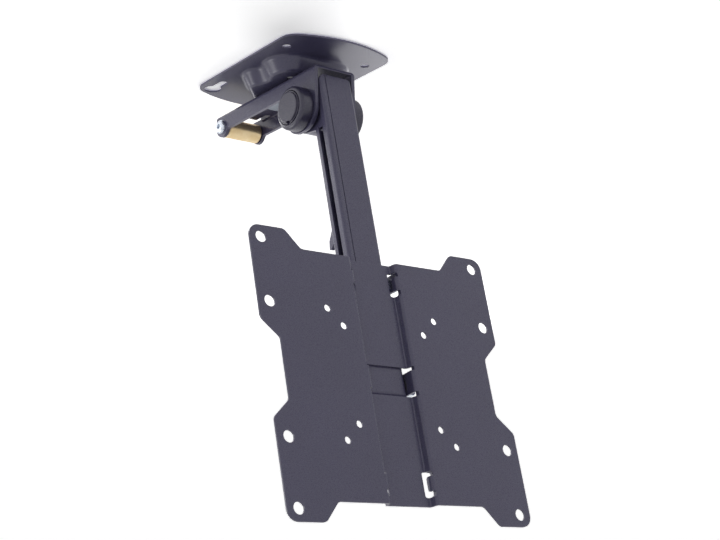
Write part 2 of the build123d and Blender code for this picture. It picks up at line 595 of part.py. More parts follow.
quarter = [(0, WAIST_HALF_Z), (EAR_FOOT_X, WAIST_HALF_Z), (EAR_TIP_X, TV_HALF_Z), (TV_HALF_X, TV_HALF_Z),
           (TV_HALF_X, EAR_TIP_Z), (WAIST_HALF_X, EAR_FOOT_Z), (WAIST_HALF_X, 0)]
right = quarter + [(x, -z) for x, z in reversed(quarter[:-1])]
loop = right + [(-x, z) for x, z in reversed(right[1:-1])]
outline = make_face(Polyline(*loop, close=True))
soft = []
hard = []
for x, z in quarter[1:6]:
    for sx in (-1, 1):
        for sz in (-1, 1):
            (hard if (x, z) == quarter[3] else soft).append((sx * x, sz * z))
outline = fillet(near(outline.vertices(), soft), EAR_BEND_R)
outline = fillet(near(outline.vertices(), hard), EAR_CORNER_R)
# The outline is drawn round the tilt axis height
tv_sheet = Pos(0, 0, TILT_W) * (sheet & front_cut(outline, TV_FRONT - 1, PANEL_BACK + 1))

# Middle window, and four slots along the folds
ear_in = EAR_GAP / 2
tv_sheet -= block(-RELIEF_X, RELIEF_X, TV_FRONT - 1, PANEL_BACK + 1,
                  TILT_W - WINDOW_HALF_Z, TILT_W + WINDOW_HALF_Z)
slot_size = (RELIEF_X - SLOT_IN_X, SLOT_HIGH_Z - SLOT_LOW_Z)
slot_face = RectangleRounded(slot_size[0], slot_size[1], 2.0)
tab_mid = (SLOT_LOW_Z + SLOT_HIGH_Z) / 2
for sx in (-1, 1):
    for sz in (-1, 1):
        place = Pos(sx * (RELIEF_X + SLOT_IN_X) / 2, TILT_W + sz * tab_mid)
        tv_sheet -= front_cut(place * slot_face, TV_FRONT - 1, PANEL_BACK + 1)


def lug(length, reach, corner):
    """Right-hand ear or tab, bent straight back from the wing along the fold."""
    v_end = TV_FRONT + reach
    wing = RELIEF_X + 1.0
    leg = make_face(Polyline((ear_in, TV_FRONT), (wing, TV_FRONT), (wing, TV_BACK),
                             (ear_in + SHEET, TV_BACK), (ear_in + SHEET, v_end), (ear_in, v_end), close=True))
    leg = fillet(near(leg.vertices(), [(ear_in, TV_FRONT)], 0.1), TV_BEND_R)
    leg = fillet(near(leg.vertices(), [(ear_in + SHEET, TV_BACK)], 0.1), TV_BEND_R - SHEET)
    body = extrude(Pos(0, 0, -length / 2) * leg, amount=length)
    ends = [e for e in body.edges().filter_by(Axis.X) if abs(e.center().Y - v_end) < EPS]
    return fillet(ends, corner)


ear = lug(2 * TILT_EAR_R, TILT_V + TILT_EAR_R - TV_FRONT, TILT_EAR_R - EPS)
ear -= along_x(TILT_PIN_R, 0, RELIEF_X, TILT_V, 0)
tab = lug(TAB_LENGTH, TAB_DEPTH, 2.0)
for side in (-1, 1):
    piece = ear if side > 0 else mirror(ear, Plane.YZ)
    tv_sheet += Pos(0, 0, TILT_W) * piece
    piece = tab if side > 0 else mirror(tab, Plane.YZ)
    tv_sheet += Pos(0, 0, TILT_W + tab_mid) * piece
    tv_sheet += Pos(0, 0, TILT_W - tab_mid) * piece

# Screw patterns: corners and middle of the large pattern, and two small squares
large = PATTERN_LARGE / 2
wide = PATTERN_WIDE / 2
small = PATTERN_SMALL / 2
for sx in (-1, 1):
    for sz in (-1, 1):
        for x, z, r in ((large, large, HOLE_LARGE_R), (large, wide, HOLE_LARGE_R),
                        (wide, wide, HOLE_SMALL_R), (small, small, HOLE_SMALL_R)):
            tv_sheet -= Pos(sx * x, TV_FRONT, TILT_W + sz * z) * Rot(90, 0, 0) * Cylinder(r, 3 * SHEET)
save("vesa_plate", REST * tv_sheet)

# Tilt bolt through the ears and the tube
ear_out = ear_in + SHEET
TILT_HEAD_R = 7.5
TILT_HEAD = 4.5
tilt_head = along_x(TILT_HEAD_R, -ear_out - TILT_HEAD, -ear_out, TILT_V, TILT_W)
tilt_head = fillet(tilt_head.edges().group_by(Axis.X)[0], 2.5)
tilt_bolt = tilt_head + along_x(TILT_PIN_R, -ear_out, ear_out + 9.0, TILT_V, TILT_W)
save("tilt_bolt", REST * tilt_bolt)
save("tilt_nut", REST * hex_x(13.0, ear_out, ear_out + 8.0, TILT_V, TILT_W, TILT_PIN_R))
tilt_washer = along_x(TILT_EAR_R - 0.5, KNUCKLE_HALF + SIDE_GAP, ear_in, TILT_V, TILT_W)
tilt_washer -= along_x(TILT_PIN_R, 0, ear_out, TILT_V, TILT_W)
save("tilt_washers", REST * Compound([tilt_washer, mirror(tilt_washer, Plane.YZ)]))

# Lock quadrants behind the upper slots, each with an arc slot about the tilt axis
quad_x = RELIEF_X + QUAD_STEP
r_in = LOCK_RADIUS - LOCK_BAND_IN
r_out = LOCK_RADIUS + LOCK_BAND_OUT
quad_front = TV_BACK - TILT_V
end_angle = TILT_ANGLE + 6.0
front_out = sqrt(r_out**2 - quad_front**2)
front_in = sqrt(r_in**2 - quad_front**2)
rear_out = (r_out * sin(radians(end_angle)), r_out * cos(radians(end_angle)))
rear_in = (r_in * sin(radians(end_angle)), r_in * cos(radians(end_angle)))
quad_face = make_face([
    Line((quad_front, front_in), (quad_front, front_out)),
    ThreePointArc((quad_front, front_out), (0.0, r_out), rear_out),
    Line(rear_out, rear_in),
    ThreePointArc(rear_in, (0.0, r_in), (quad_front, front_in)),
])
quad_face = fillet(near(quad_face.vertices(), [rear_out, rear_in]), 4.0)
lock_arc = CenterArc((0, 0), LOCK_RADIUS, 90 - TILT_ANGLE - 1.0, TILT_ANGLE + 2.0)
quad_face -= SlotArc(lock_arc, 2 * (LOCK_PIN_R + RUN * 4))
quadrant = Pos(0, TILT_V, TILT_W) * side_cut(quad_face, quad_x, quad_x + LOCK_SHEET)
foot = block(quad_x, quad_x + LOCK_FOOT, TV_BACK, TV_BACK + LOCK_SHEET, TILT_W + front_in, TILT_W + front_out)
quadrant += foot
save("lock_quadrants", REST * Compound([quadrant, mirror(quadrant, Plane.YZ)]))

# Lock bolt across the arm, with a bush on each side that reaches the quadrant
bush_end = quad_x - SIDE_GAP
lock_bush = along_x(LOCK_BUSH_R, ARM_HALF, bush_end, TILT_V, LOCK_W)
lock_bush -= along_x(LOCK_PIN_R, 0, bush_end + 1, TILT_V, LOCK_W)
save("lock_bushes", REST * Compound([lock_bush, mirror(lock_bush, Plane.YZ)]))
quad_out = quad_x + LOCK_SHEET + SIDE_GAP
lock_head = along_x(LOCK_HEAD_R, -quad_out - LOCK_HEAD, -quad_out, TILT_V, LOCK_W)
lock_head = fillet(lock_head.edges().group_by(Axis.X)[0], 2.0)
lock_tip = quad_out + LOCK_NUT + LOCK_END
lock_bolt = lock_head + along_x(LOCK_PIN_R, -quad_out, lock_tip, TILT_V, LOCK_W)
save("lock_bolt", REST * lock_bolt)
save("lock_nut", REST * hex_x(LOCK_NUT_AF, quad_out, quad_out + LOCK_NUT, TILT_V, LOCK_W, LOCK_PIN_R))

# Latch hook. Folded a little past level, the roller's centre lies at roller_v, roller_w
past = radians(FOLD_PAST)
rise = ROLLER_Z - HINGE_Z
back = ROLLER_Y - HINGE_Y
roller_v = rise * cos(past) - back * sin(past)
roller_w = -back * cos(past) - rise * sin(past)
throat = ROLLER_R + LATCH_THROAT
pin_v = LATCH_PIN_V
pin_w = roller_w + LATCH_PIN_RISE
stem_in = roller_w + throat
stem_out = stem_in + LATCH_STEM
crown_v = roller_v + throat + LATCH_CROWN
nose_w = roller_w + LATCH_LIP
hook_face = make_face(Polyline((pin_v, stem_in), (pin_v, stem_out), (LATCH_HEEL, stem_out),
                               (crown_v, stem_in), (crown_v - 1.5, nose_w), (roller_v, nose_w),
                               (roller_v, stem_in), close=True))
hook_face -= Pos(roller_v, roller_w) * Circle(throat)
heel = near(hook_face.vertices(), [(LATCH_HEEL, stem_out), (crown_v, stem_in)], 0.1)
hook_face = fillet(heel, 2.5)
hook_face += Pos(pin_v, pin_w) * Circle(LATCH_HUB_R)
hook = side_cut(hook_face, LATCH_X - LATCH_SHEET / 2, LATCH_X + LATCH_SHEET / 2)
hook -= along_x(LATCH_PIN_R + RUN, 0, 2 * LATCH_X, pin_v, pin_w)
hook = Pos(0, pin_v, pin_w) * Rot(LATCH_OPEN, 0, 0) * Pos(0, -pin_v, -pin_w) * hook
save("latch_hook", REST * hook)

# Bracket and pin that carry the hook on the arm's rear web
jaw_in = LATCH_SHEET / 2 + SIDE_GAP
jaw_out = jaw_in + BRACKET_SHEET
bracket = block(LATCH_X - jaw_out, LATCH_X + jaw_out, ARM_REAR, pin_v, pin_w - 6.0, pin_w + 6.0)
bracket += along_x(6.0, LATCH_X - jaw_out, LATCH_X + jaw_out, pin_v, pin_w)
bracket -= block(LATCH_X - jaw_in, LATCH_X + jaw_in, ARM_REAR + BRACKET_SHEET, pin_v + 7, pin_w - 7, pin_w + 7)
bracket -= along_x(LATCH_PIN_R, 0, 3 * LATCH_X, pin_v, pin_w)
save("latch_bracket", REST * bracket)
latch_pin = along_x(LATCH_PIN_R, LATCH_X - jaw_out - 1.2, LATCH_X + jaw_out, pin_v, pin_w)
save("latch_pin", REST * latch_pin)
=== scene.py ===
# %% [markdown]
# # A fold-down ceiling mount for a flat screen
#
# A pressed plate sits against the ceiling. Under it a folded yoke swivels, an arm of two
# channels folds up on a hinge between round dark caps, and a cut and folded sheet carries
# the screen. The solids come from the CAD model, already in metres and in place. Here they
# get the finishes of the real thing, a few details too fine for the solids, a ceiling,
# soft light and a camera.

# %% Load the solids
import json
import math

import bmesh
import bpy
from mathutils import Matrix, Vector


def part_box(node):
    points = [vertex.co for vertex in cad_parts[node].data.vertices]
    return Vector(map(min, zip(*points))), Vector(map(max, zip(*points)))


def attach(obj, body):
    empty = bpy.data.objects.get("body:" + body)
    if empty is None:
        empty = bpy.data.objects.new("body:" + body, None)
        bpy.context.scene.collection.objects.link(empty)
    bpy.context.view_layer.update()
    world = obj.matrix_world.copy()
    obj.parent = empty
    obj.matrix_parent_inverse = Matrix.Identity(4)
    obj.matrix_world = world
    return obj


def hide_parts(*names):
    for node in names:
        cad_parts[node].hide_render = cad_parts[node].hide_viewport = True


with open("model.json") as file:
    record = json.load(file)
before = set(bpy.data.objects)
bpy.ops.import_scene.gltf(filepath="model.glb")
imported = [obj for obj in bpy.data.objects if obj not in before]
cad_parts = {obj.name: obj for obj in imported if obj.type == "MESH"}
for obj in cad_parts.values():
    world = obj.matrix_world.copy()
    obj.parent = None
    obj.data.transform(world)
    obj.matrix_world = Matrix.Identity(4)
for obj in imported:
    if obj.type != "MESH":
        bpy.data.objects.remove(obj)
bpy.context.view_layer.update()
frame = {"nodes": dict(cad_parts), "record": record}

MM = 0.001

# %% [markdown]
# ## Helpers for finishes
#
# A finish is a small graph of nodes. Written out in full, each node takes a dozen lines, so
# one function adds a node, sets its switches and fills its inputs, with a value or with
# another node's output. Colours are easier to pick and compare as the hex values that a
# paint shop's screen shows, but the renderer adds light, so one more function turns them
# linear, by the curve that the sRGB standard gives. Two short ones open a material and
# close it with its output.

# %% Add a node
def add(tree, kind, inputs=None, **switches):
    """Add one node; an input takes a value or another node's output socket."""
    node = tree.nodes.new(kind)
    for name, value in switches.items():
        setattr(node, name, value)
    for name, value in (inputs or {}).items():
        if isinstance(value, bpy.types.NodeSocket):
            tree.links.new(value, node.inputs[name])
        else:
            node.inputs[name].default_value = value
    return node


# %% Turn a colour linear
def linear(code):
    """sRGB hex colour as the linear RGBA that a shader wants."""
    channels = [int(code[i:i + 2], 16) / 255 for i in (1, 3, 5)]
    return [c / 12.92 if c <= 0.04045 else ((c + 0.055) / 1.055) ** 2.4 for c in channels] + [1.0]


WHITE = linear("#FFFFFF")
print("the middle grey #808080 sends back", round(linear("#808080")[0], 3), "of the light")

# %% Open and close a material
def start(name):
    """New material: itself, its empty graph and the object's coordinates in metres."""
    material = bpy.data.materials.new(name)
    material.use_nodes = True
    tree = material.node_tree
    tree.nodes.clear()
    place = add(tree, "ShaderNodeTexCoord").outputs["Object"]
    return material, tree, place


def close(material, surface):
    """Send a shader to the material's output and say how large the graph is."""
    tree = material.node_tree
    add(tree, "ShaderNodeOutputMaterial", {"Surface": surface})
    print(material.name, "nodes:", len(tree.nodes))


# %% [markdown]
# ## Powder coat on steel
#
# Nearly every piece is mild steel sheet with a polyester powder coat, sprayed dry and baked.
# It melts into a satin film of about 80 microns with a faint orange peel, a ripple some 2 mm
# from crest to crest, and it draws thin over sheared edges. The eye gets a dark violet grey
# that turns pale wherever it mirrors the room at a low angle. A Bevel node rounds the sharp
# solid edges by the film's own small radius, and the same node tells where the edges are.
# There the colour is painted lighter, partly for the thinner film and partly as a painted
# highlight along the rims. A rim is where the rounded direction has turned away from the flat
# one, by 8 degrees at its start and by 31 where it is full.

# %% Powder coat
# the third colour goes on the edges: the thinner film, and a painted highlight along the rims
COAT_LOW, COAT_HIGH, COAT_THIN_AND_HIGHLIGHT = "#4C4962", "#53506B", "#646179"
CLOUD, PEEL, SPECK = 45 * MM, 2.0 * MM, 0.5 * MM
FILM_RADIUS = 0.45 * MM
RIM_START, RIM_FULL = 0.99, 0.86
NOISE_SPAN = {"From Min": 0.3, "From Max": 0.7}  # where most of a noise's values lie

coat, tree, place = start("powder_coated_steel")
edge = add(tree, "ShaderNodeBevel", {"Radius": FILM_RADIUS}, samples=6).outputs["Normal"]
flat = add(tree, "ShaderNodeNewGeometry").outputs["Normal"]
turn = add(tree, "ShaderNodeVectorMath", {0: edge, 1: flat}, operation="DOT_PRODUCT")
rim_highlight = add(tree, "ShaderNodeMapRange", {
    "Value": turn.outputs["Value"], "From Min": RIM_START, "From Max": RIM_FULL})
cloud = add(tree, "ShaderNodeTexNoise", {
    "Vector": place, "Scale": 1 / CLOUD, "Detail": 3.0, "Roughness": 0.55})
peel = add(tree, "ShaderNodeTexNoise", {
    "Vector": place, "Scale": 1 / PEEL, "Detail": 2.0, "Roughness": 0.5})
speck = add(tree, "ShaderNodeTexNoise", {"Vector": place, "Scale": 1 / SPECK, "Detail": 1.0})
tone = add(tree, "ShaderNodeMix", {
    "Factor": cloud.outputs["Fac"], "A": linear(COAT_LOW), "B": linear(COAT_HIGH)},
    data_type="RGBA")
# the rims take the lighter edge colour, partly thin film and partly painted highlight
film_and_rim_highlight = add(tree, "ShaderNodeMix", {
    "Factor": rim_highlight.outputs["Result"], "A": tone.outputs["Result"], "B": linear(COAT_THIN_AND_HIGHLIGHT)},
    data_type="RGBA")
gloss = add(tree, "ShaderNodeMapRange", {
    "Value": speck.outputs["Fac"], **NOISE_SPAN, "To Min": 0.25, "To Max": 0.31})
ripple = add(tree, "ShaderNodeBump", {
    "Strength": 0.12, "Distance": 0.05 * MM, "Height": peel.outputs["Fac"], "Normal": edge})
skin = add(tree, "ShaderNodeBsdfPrincipled", {
    "Base Color": film_and_rim_highlight.outputs["Result"], "Roughness": gloss.outputs["Result"],
    "IOR": 1.5, "Normal": ripple.outputs["Normal"]})
close(coat, skin.outputs["BSDF"])

# %% [markdown]
# ## Zinc plate on bolts and nuts
#
# The fasteners are bright zinc plated: a thin, slightly blue metal film over turned or cold
# formed steel. It gives the eye a hard sparkle with soft darker patches where the bath was
# uneven. It is a metal, so its colour is its mirror colour, and a fine noise breaks up the
# mirror. The big bolt under the yoke gets the same film darker, greyer and duller, so one
# function makes both.

# %% Zinc plate, new and dull
METAL_EDGE = 0.3 * MM
BATH, GRAIN = 4 * MM, 0.6 * MM
HAZE = 0.14  # roughness that the bath adds where its film is thick


def zinc_plate(name, low, high, mirror):
    """Zinc film between two colours; mirror is its smoothest roughness."""
    material, tree, place = start(name)
    edge = add(tree, "ShaderNodeBevel", {"Radius": METAL_EDGE}, samples=4).outputs["Normal"]
    bath = add(tree, "ShaderNodeTexNoise", {
        "Vector": place, "Scale": 1 / BATH, "Detail": 4.0, "Roughness": 0.6})
    grain = add(tree, "ShaderNodeTexNoise", {"Vector": place, "Scale": 1 / GRAIN, "Detail": 2.0})
    tone = add(tree, "ShaderNodeMix", {
        "Factor": bath.outputs["Fac"], "A": linear(low), "B": linear(high)}, data_type="RGBA")
    gloss = add(tree, "ShaderNodeMapRange", {
        "Value": bath.outputs["Fac"], **NOISE_SPAN, "To Min": mirror, "To Max": mirror + HAZE})
    fine = add(tree, "ShaderNodeBump", {
        "Strength": 0.15, "Distance": 0.03 * MM, "Height": grain.outputs["Fac"], "Normal": edge})
    skin = add(tree, "ShaderNodeBsdfPrincipled", {
        "Base Color": tone.outputs["Result"], "Metallic": 1.0,
        "Roughness": gloss.outputs["Result"], "Normal": fine.outputs["Normal"]})
    close(material, skin.outputs["BSDF"])
    return material


zinc = zinc_plate("zinc_plated_steel", "#B4BCC8", "#E2E7EE", 0.20)
dull_zinc = zinc_plate("dull_zinc_plate", "#666B75", "#8A909B", 0.34)

# %% [markdown]
# ## Brass on the roller
#
# The roller is a turned tube with a warm brass colour. The lathe leaves fine rings round it,
# here 0.6 mm apart, a little coarser than real ones so that they show. They are bands along
# X, the roller's axis. Where it is rubbed, it is both brighter and smoother, so one noise
# drives its colour and its roughness. A thin lacquer on it scatters part of the light, so
# its shaded top stays tan and isn't black as bare metal would be.

# %% Turned brass
BRASS_LOW, BRASS_HIGH = "#E0BF84", "#FAE8C2"
BRASS_PLAIN, BRASS_RUBBED = 0.40, 0.32  # roughness
RING, STAIN = 0.6 * MM, 7 * MM
BAND = math.pi / 10  # a wave node of scale 1 has a band at each of these

brass, tree, place = start("turned_brass")
edge = add(tree, "ShaderNodeBevel", {"Radius": METAL_EDGE}, samples=4).outputs["Normal"]
rings = add(tree, "ShaderNodeTexWave", {
    "Vector": place, "Scale": BAND / RING, "Distortion": 1.5, "Detail": 2.0,
    "Detail Scale": 2.0}, wave_type="BANDS", bands_direction="X")
stain = add(tree, "ShaderNodeTexNoise", {"Vector": place, "Scale": 1 / STAIN, "Detail": 4.0})
tone = add(tree, "ShaderNodeMix", {
    "Factor": stain.outputs["Fac"], "A": linear(BRASS_LOW), "B": linear(BRASS_HIGH)},
    data_type="RGBA")
gloss = add(tree, "ShaderNodeMapRange", {
    "Value": stain.outputs["Fac"], **NOISE_SPAN,
    "To Min": BRASS_PLAIN, "To Max": BRASS_RUBBED})
lathe = add(tree, "ShaderNodeBump", {
    "Strength": 0.25, "Distance": 0.03 * MM, "Height": rings.outputs["Fac"], "Normal": edge})
skin = add(tree, "ShaderNodeBsdfPrincipled", {
    "Base Color": tone.outputs["Result"], "Metallic": 0.7,
    "Roughness": gloss.outputs["Result"], "Normal": lathe.outputs["Normal"]})
close(brass, skin.outputs["BSDF"])

# %% [markdown]
# ## Moulded caps
#
# The hinge caps and their covers are injection moulded ABS in the coat's own dark tone. The
# mould was spark eroded to a fine matt grain of about 0.3 mm, which the light only shows as
# a slight softness, and the plastic mirrors the room a little more than the coat does at
# its rounded shoulder.

# %% Moulded plastic
ABS_LOW, ABS_HIGH = "#363349", "#3D3A50"
PLASTIC_IOR = 1.53
SHOULDER = 0.35 * MM
SPARK, FLOW = 0.3 * MM, 14 * MM

plastic, tree, place = start("moulded_abs")
edge = add(tree, "ShaderNodeBevel", {"Radius": SHOULDER}, samples=6).outputs["Normal"]
grain = add(tree, "ShaderNodeTexNoise", {"Vector": place, "Scale": 1 / SPARK, "Detail": 2.0})
flow = add(tree, "ShaderNodeTexNoise", {"Vector": place, "Scale": 1 / FLOW, "Detail": 2.0})
tone = add(tree, "ShaderNodeMix", {
    "Factor": flow.outputs["Fac"], "A": linear(ABS_LOW), "B": linear(ABS_HIGH)},
    data_type="RGBA")
gloss = add(tree, "ShaderNodeMapRange", {
    "Value": grain.outputs["Fac"], **NOISE_SPAN, "To Min": 0.24, "To Max": 0.32})
matt = add(tree, "ShaderNodeBump", {
    "Strength": 0.1, "Distance": 0.02 * MM, "Height": grain.outputs["Fac"], "Normal": edge})
skin = add(tree, "ShaderNodeBsdfPrincipled", {
    "Base Color": tone.outputs["Result"], "Roughness": gloss.outputs["Result"],
    "IOR": PLASTIC_IOR, "Normal": matt.outputs["Normal"]})
close(plastic, skin.outputs["BSDF"])

# %% [markdown]
# ## Slip washers
#
# The washers between the moving sheets are stamped from nylon that is blackened with soot,
# so that they don't show between the dark sheets. Nylon is waxy: its surface is a satin with
# no grain, and a slow noise gives the faint haze where the sheets rub it.

# %% Black nylon
NYLON_LOW, NYLON_HIGH = "#2B2933", "#3A3842"
RUBBED = 9 * MM

nylon, tree, place = start("black_nylon")
haze = add(tree, "ShaderNodeTexNoise", {"Vector": place, "Scale": 1 / RUBBED, "Detail": 3.0})
tone = add(tree, "ShaderNodeMix", {
    "Factor": haze.outputs["Fac"], "A": linear(NYLON_LOW), "B": linear(NYLON_HIGH)},
    data_type="RGBA")
wax = add(tree, "ShaderNodeBump", {
    "Strength": 0.1, "Distance": 0.05 * MM, "Height": haze.outputs["Fac"]})
skin = add(tree, "ShaderNodeBsdfPrincipled", {
    "Base Color": tone.outputs["Result"], "Roughness": 0.42,
    "IOR": PLASTIC_IOR, "Normal": wax.outputs["Normal"]})
close(nylon, skin.outputs["BSDF"])

# %% [markdown]
# ## Give every solid its finish
#
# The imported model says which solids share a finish, so the list isn't repeated here. Each
# solid keeps its mesh and only its material slot changes. The fine parts of the coat and of
# the caps come from the graphs above, in real millimetres, so they need no unwrapping. The
# washer under the yoke was painted along with it, and its bolt has the dull zinc.

# %% Finishes onto the solids
finish = {"dark_coat": coat, "zinc": zinc, "roller_brass": brass, "cap_plastic": plastic,
          "slip_nylon": nylon}
count = dict.fromkeys(finish, 0)
for part in frame["record"]["subparts"]:
    solid = frame["nodes"][part["node"]]
    if not solid.material_slots:
        solid.data.materials.append(None)
    for slot in solid.material_slots:
        slot.material = finish[part["material_slot"]]
    count[part["material_slot"]] += 1
frame["nodes"]["pivot_washer"].material_slots[0].material = coat
frame["nodes"]["pivot_bolt"].material_slots[0].material = dull_zinc
print("solids with each finish:", count)

# %% [markdown]
# ## From a bmesh to a piece
#
# New shapes are made in a bmesh, Blender's own store of corners, edges and faces. It isn't
# part of the scene until it is written to a mesh, and that hangs on an object. Every new
# shape below takes these same steps, so one function does them.

# %% Turn a bmesh into an object
def into_object(bm, name, material):
    """Write a finished bmesh to a new object with one material, in the scene."""
    mesh = bpy.data.meshes.new(name)
    bm.to_mesh(mesh)
    bm.free()
    mesh.materials.append(material)
    item = bpy.data.objects.new(name, mesh)
    bpy.context.scene.collection.objects.link(item)
    print(name, "faces:", len(mesh.polygons))
    return item


# %% [markdown]
# ## Cheeks inside the arm
#
# Two thick cheeks inside the arm carry the hinge. Seen from the side, the slot between the
# arm's two channels is dark from the yoke down, so the real cheeks end just under the
# hinge. A laser cuts such a plate from sheet, and here it is made in the same order: an
# outline with a round hole, filled, then given its thickness. The two flanks run from the
# corners to the round end and touch it where they are square to its radius.

# %% Outline of a cheek
CHEEK_R = 17.7 * MM
HINGE_HOLE_R = 5.05 * MM
CHEEK_FRONT, CHEEK_REAR = -22.9 * MM, -10.5 * MM  # from the hinge, across the arm
CHEEK_FOOT, CHEEK_TOP = -22.0 * MM, 19.0 * MM  # from the hinge, along the arm
ARC_STEPS = 32


def on_circle(radius, angles):
    """Points round the hinge at these angles."""
    return [Vector((math.cos(a), math.sin(a))) * radius for a in angles]


def flank_end(corner, side):
    """Angle at which the line from a corner touches the round end."""
    return math.atan2(corner.y, corner.x) + side * math.acos(CHEEK_R / corner.length)


corners = [Vector(corner) for corner in (
    (CHEEK_REAR, CHEEK_FOOT), (CHEEK_FRONT, CHEEK_FOOT),
    (CHEEK_FRONT, CHEEK_TOP), (CHEEK_REAR, CHEEK_TOP))]
first, last = flank_end(corners[-1], -1), flank_end(corners[0], 1)
arc = [first + (last - first) * i / ARC_STEPS for i in range(ARC_STEPS + 1)]
outline = on_circle(CHEEK_R, arc) + corners
hole = on_circle(HINGE_HOLE_R, [2 * math.pi * i / ARC_STEPS for i in range(ARC_STEPS)])
print("round end of the cheek in degrees:", round(math.degrees(first - last), 1))

# %% Two cheeks
CHEEK_SHEET = 2.5 * MM
ARM_LEAN = math.radians(-11.17)

hinge_low, hinge_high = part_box("hinge_bush")
hinge = (hinge_low + hinge_high) / 2
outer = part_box("arm_cheeks")[1].x
bm = bmesh.new()
for x in (outer - CHEEK_SHEET, -outer):
    edges = []
    for ring in (outline, hole):
        points = [bm.verts.new((x, p.x, p.y)) for p in ring]
        edges += [bm.edges.new((points[i - 1], points[i])) for i in range(len(points))]
    sheet = bmesh.ops.triangle_fill(bm, use_beauty=True, edges=edges)["geom"]
    faces = [item for item in sheet if isinstance(item, bmesh.types.BMFace)]
    grown = bmesh.ops.extrude_face_region(bm, geom=faces)["geom"]
    moved = [item for item in grown if isinstance(item, bmesh.types.BMVert)]
    bmesh.ops.translate(bm, vec=(CHEEK_SHEET, 0, 0), verts=moved)
bmesh.ops.recalc_face_normals(bm, faces=bm.faces[:])
lean = Matrix.Translation((0, hinge.y, hinge.z)) @ Matrix.Rotation(ARM_LEAN, 4, "X")
bmesh.ops.transform(bm, matrix=lean, verts=bm.verts[:])
cheeks = into_object(bm, "hinge_cheeks", coat)
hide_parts("arm_cheeks")
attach(cheeks, "arm_body")

# %% [markdown]
# ## Threads on the bolt ends
#
# Where a bolt comes out of its nut, a real one shows a turn or two of thread. The solids
# leave threads out, because they would be thousands of faces on a plain bar. One triangle,
# the ridge's cross-section, is spun round the bar and moved along it a little at each step,
# which is how a thread is cut. Its ends are closed, and it sinks slightly into the bar.

# %% A thread made by one spin
TURN_STEPS = 28
RIDGE = 0.42  # radius of the ridge's triangle, as a share of the pitch


def thread(bolt, body, axis, radius, pitch, end, length):
    """Ridge round the last length of a bolt, at its low or high end, in metres."""
    low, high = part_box(bolt)
    k = "xyz".index(axis)
    tip = high[k] if end == "high" else low[k]
    inner = tip - length if end == "high" else tip + length
    first, last = min(tip, inner), max(tip, inner)
    along = Vector((1, 0, 0)) if axis == "x" else Vector((0, 0, 1))
    out = Vector((0, 0, 1)) if axis == "x" else Vector((1, 0, 0))
    middle = (low + high) / 2
    foot = middle - along * middle.dot(along) + along * first
    bm = bmesh.new()
    section = bmesh.ops.create_circle(bm, cap_ends=False, segments=3, radius=pitch * RIDGE)["verts"]
    upright = Matrix((out, along, along.cross(out))).transposed().to_4x4()
    at_start = Matrix.Translation(foot + out * radius) @ upright
    bmesh.ops.transform(bm, matrix=at_start, verts=section)
    turns = (last - first) / pitch
    steps = round(turns * TURN_STEPS)
    bmesh.ops.spin(bm, geom=section + bm.edges[:], cent=foot, axis=along,
                   dvec=along * (last - first) / steps, angle=turns * 2 * math.pi, steps=steps,
                   use_merge=False, use_normal_flip=False, use_duplicate=False)
    bmesh.ops.holes_fill(bm, edges=[e for e in bm.edges if e.is_boundary], sides=0)
    bmesh.ops.recalc_face_normals(bm, faces=bm.faces[:])
    for face in bm.faces:
        face.smooth = len(face.verts) == 4
    piece = into_object(bm, bolt + "_thread", zinc)
    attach(piece, body)


# %% Three bolt ends
# Each bolt's axis, radius and pitch in mm, its threaded end, and the length in mm.
tips = {
    "guide_bolt": ("z", 3.0, 1.0, "low", 1.9),
    "tilt_bolt": ("x", 4.0, 1.25, "high", 0.9),
    "lock_bolt": ("x", 2.5, 0.8, "high", 0.9),
}
bodies = {n: b for b, names in frame["record"]["behaviour"]["bodies"].items() for n in names}
for bolt, (axis, radius, pitch, end, length) in tips.items():
    thread(bolt, bodies[bolt], axis, radius * MM, pitch * MM, end, length * MM)

# %% [markdown]
# ## Paint on the ceiling
#
# The ceiling is matt white to the light that bounces round the room. To the camera and to
# mirrors it is two layers of a purer white with a faint glow, which bring the open ceiling
# to full white, and the soft shadow round the plate stays, because the layers only show
# real light. Seen from above it lets the view through, and so does the patch against the
# plate's upper face, for rays that have come less than 4 mm. The first function tells the
# camera's and the mirrors' rays from the others, and the room light below uses it again.

# %% Which rays see a surface directly
def direct_rays(tree):
    """Light Path node, and 1 for a ray of the camera, of a mirror or through glass."""
    ray = add(tree, "ShaderNodeLightPath")
    mirror_or_glass = add(tree, "ShaderNodeMath", {
        0: ray.outputs["Is Glossy Ray"], 1: ray.outputs["Is Transmission Ray"]},
        operation="MAXIMUM")
    direct = add(tree, "ShaderNodeMath", {
        0: mirror_or_glass.outputs["Value"], 1: ray.outputs["Is Camera Ray"]},
        operation="MAXIMUM")
    return ray, direct.outputs["Value"]


# %% Ceiling paint
PAINT_LOW, PAINT_HIGH = "#E6E6E8", "#EAEAEC"
PURE_WHITE = (0.98, 0.98, 0.98, 1.0)
GLOW = 0.095
MOTTLE = 60 * MM
NEAR = 4 * MM

